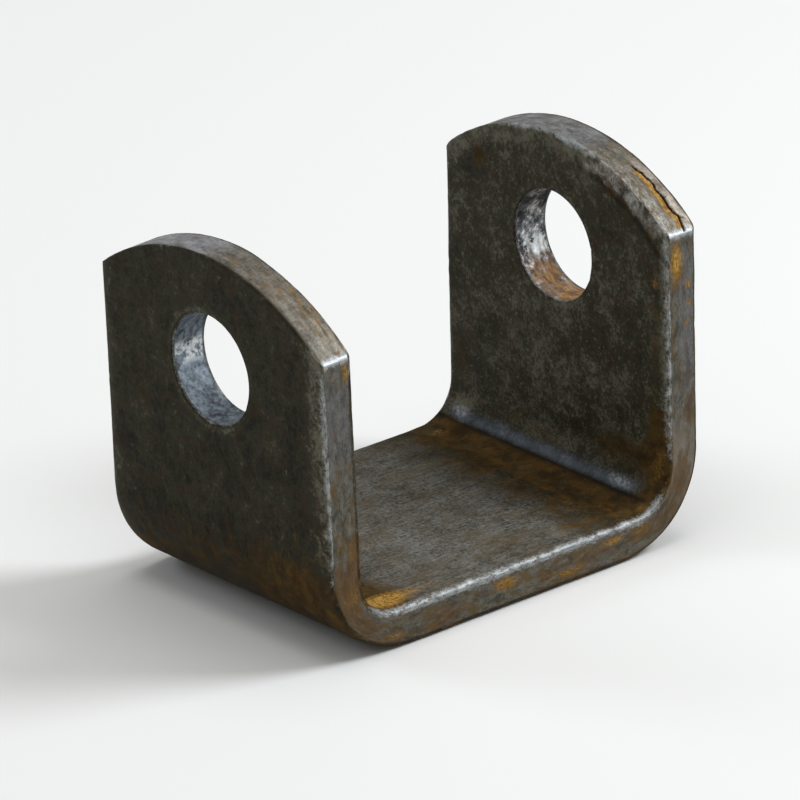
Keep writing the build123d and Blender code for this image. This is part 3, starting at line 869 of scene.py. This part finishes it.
for by_, len_, tilt in ((-16.9, 0.8, 0.25), (-20.2, 0.9, -0.2), (-23.4, 0.9, 0.35)):
    off = m("ABSOLUTE", add_(sub_(fy, by_), mad(sub_(ct, ft), tilt, mul(sub_(noise_at(vec, 0.6, 2, 0.5), 0.5), 0.4))))
    reach = mul(ss(sub_(ct, ft), len_, len_ * 0.8), ss(sub_(ct, ft), -0.02, 0.05))
    split = m("MAXIMUM", split, mul(mul(ss(off, 0.12, 0.03), reach), mul(a_crack, 0.6)))
colour = mix(mul(split, 0.97), colour, (0.030, 0.010, 0.003))

# ---- gloss -------------------------------------------------------------------
rough = mad(sub_(fine, 0.5), 0.25, mad(sub_(mid, 0.5), 0.20, 0.62))
rough = lerp(burn_m, rough, mad(sub_(fine, 0.5), 0.3, 0.44))
rough = lerp(z_edge, rough, mad(sub_(mid, 0.5), 0.4, 0.52))
rough = lerp(z_top, rough, mad(sub_(fine, 0.5), 0.4, 0.50))
rough = lerp(z_bore, rough, mad(sub_(mid, 0.5), 0.5, 0.50))
rough = lerp(gran_m, rough, 0.48)
rough = lerp(m("MAXIMUM", rust_k, or_m), rough, mad(sub_(fine, 0.5), 0.2, 0.86))
rough = lerp(wear_and_glint_m, rough, mad(sub_(grain, 0.5), 0.3, 0.54))
rough = lerp(m("MAXIMUM", a_dark, split), rough, 0.95)

metal = lerp(burn_m, ss(scr, 0.2, 0.9, 0.0, 0.5), 0.45)
metal = lerp(z_edge, metal, 0.30)
metal = lerp(z_top, metal, 0.55)
metal = lerp(z_bore, metal, 0.80)
metal = lerp(gran_m, metal, 0.55)
metal = lerp(m("MAXIMUM", rust_k, or_m), metal, 0.0)
metal = lerp(wear_and_glint_m, metal, 0.70)
metal = lerp(m("MAXIMUM", a_dark, split), metal, 0.0)

# ---- relief finer than the mesh ------------------------------------------------
height = mad(sub_(mid2, 0.5), 1.6, mad(sub_(fine, 0.5), 1.0, mul(sub_(grain, 0.5), 0.45)))
cut = m("MAXIMUM", z_top, mul(z_edge, 0.4))
height = add_(height, mul(mul(sub_(drag, 0.5), 1.4), cut))
height = add_(height, mul(mul(sub_(roll_, 0.5), 0.8), sub_(1.0, m("MAXIMUM", cut, z_bore))))
height = add_(height, mul(z_bore, mul(sub_(b_soft, 0.5), 2.4)))
height = add_(height, mul(m("MAXIMUM", rust_k, or_m), mul(sub_(noise_at(vec, 0.33, 3, 0.65), 0.3), 0.9)))
height = add_(height, mul(gran_m, mul(sub_(grain2, 0.5), 1.6)))
height = sub_(height, mul(wear_and_glint_m, 0.2))
height = sub_(height, mul(split, 4.0))
bump = node("ShaderNodeBump")
bump.inputs["Strength"].default_value = 1.0
bump.inputs["Distance"].default_value = 0.00003
tree.links.new(height, bump.inputs["Height"])

bsdf = node("ShaderNodeBsdfPrincipled")
out = node("ShaderNodeOutputMaterial")
tree.links.new(bsdf.outputs[0], out.inputs[0])
put(bsdf.inputs["Base Color"], colour)
put(bsdf.inputs["Roughness"], m("MINIMUM", m("MAXIMUM", rough, 0.12), 1.0))
put(bsdf.inputs["Metallic"], metal)
put(bsdf.inputs["Normal"], bump.outputs[0])
bsdf.inputs["Specular IOR Level"].default_value = 0.12


mesh.materials.append(mat)

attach(piece, "root")
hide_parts("u_bracket")

# --------------------------------------------------------------------------
# Camera, light and floor
# --------------------------------------------------------------------------
F_PX, AZ, EL, ROLL, DIST, TX, TZ = 15000.0, -39.8302, 23.1469, -1.9732, 2266.051, -0.5186, 23.3579
a, e, r = math.radians(AZ), math.radians(EL), math.radians(ROLL)
back = Vector((math.sin(a) * math.cos(e), -math.cos(a) * math.cos(e), math.sin(e)))
right = Vector((0, 0, 1)).cross(back).normalized()
up = back.cross(right)
HALF = 0.5 * DIST / F_PX
loc = (back * DIST + right * (TX - HALF) + up * (TZ - HALF * -1)) * 0.001
rx = right * math.cos(r) + up * math.sin(r)
ry = -right * math.sin(r) + up * math.cos(r)
cam_data = bpy.data.cameras.new("camera")
cam_data.lens = F_PX / 800 * 36.0
cam_data.sensor_width = 36.0
cam_data.clip_start, cam_data.clip_end = 0.05, 200.0
cam = bpy.data.objects.new("camera", cam_data)
cam.matrix_world = Matrix((
    (rx.x, ry.x, back.x, loc.x),
    (rx.y, ry.y, back.y, loc.y),
    (rx.z, ry.z, back.z, loc.z),
    (0, 0, 0, 1)))
bpy.context.scene.collection.objects.link(cam)
bpy.context.scene.camera = cam

floor_mesh = bpy.data.meshes.new("floor")
S = 40.0
floor_mesh.from_pydata([(-S, -S, 0), (S, -S, 0), (S, S, 0), (-S, S, 0)], [], [(0, 1, 2, 3)])
floor = bpy.data.objects.new("floor", floor_mesh)
bpy.context.scene.collection.objects.link(floor)
fm = bpy.data.materials.new("pale_floor")
fm.use_nodes = True
fb = fm.node_tree.nodes["Principled BSDF"]
fb.inputs["Base Color"].default_value = (0.82, 0.82, 0.81, 1)
fb.inputs["Roughness"].default_value = 0.9
floor_mesh.materials.append(fm)

CENTRE = Vector((0.0, 0.0, 0.028))


def softbox(name, direction, distance, size, power, colour=(1, 1, 1)):
    light = bpy.data.lights.new(name, "AREA")
    light.shape, light.size, light.energy, light.color = "DISK", size, power, colour
    ob = bpy.data.objects.new(name, light)
    d = Vector(direction).normalized()
    ob.location = CENTRE + d * distance
    ob.rotation_euler = d.to_track_quat("Z", "Y").to_euler()
    bpy.context.scene.collection.objects.link(ob)


softbox("key", (0.60, -0.42, 0.68), 1.0, 0.42, 7.0, (0.93, 0.97, 1.0))
softbox("overhead", (0.0, 0.0, 1.0), 1.3, 1.1, 7.0, (1.0, 0.99, 0.97))
softbox("back", (-0.46, 0.70, 0.50), 1.1, 0.5, 2.2, (0.88, 0.94, 1.0))

world = bpy.data.worlds.new("world")
bpy.context.scene.world = world
world.use_nodes = True
world.node_tree.nodes["Background"].inputs["Color"].default_value = (1.0, 0.985, 0.96, 1)
world.node_tree.nodes["Background"].inputs["Strength"].default_value = 0.28
bpy.context.scene.view_settings.view_transform = "Standard"
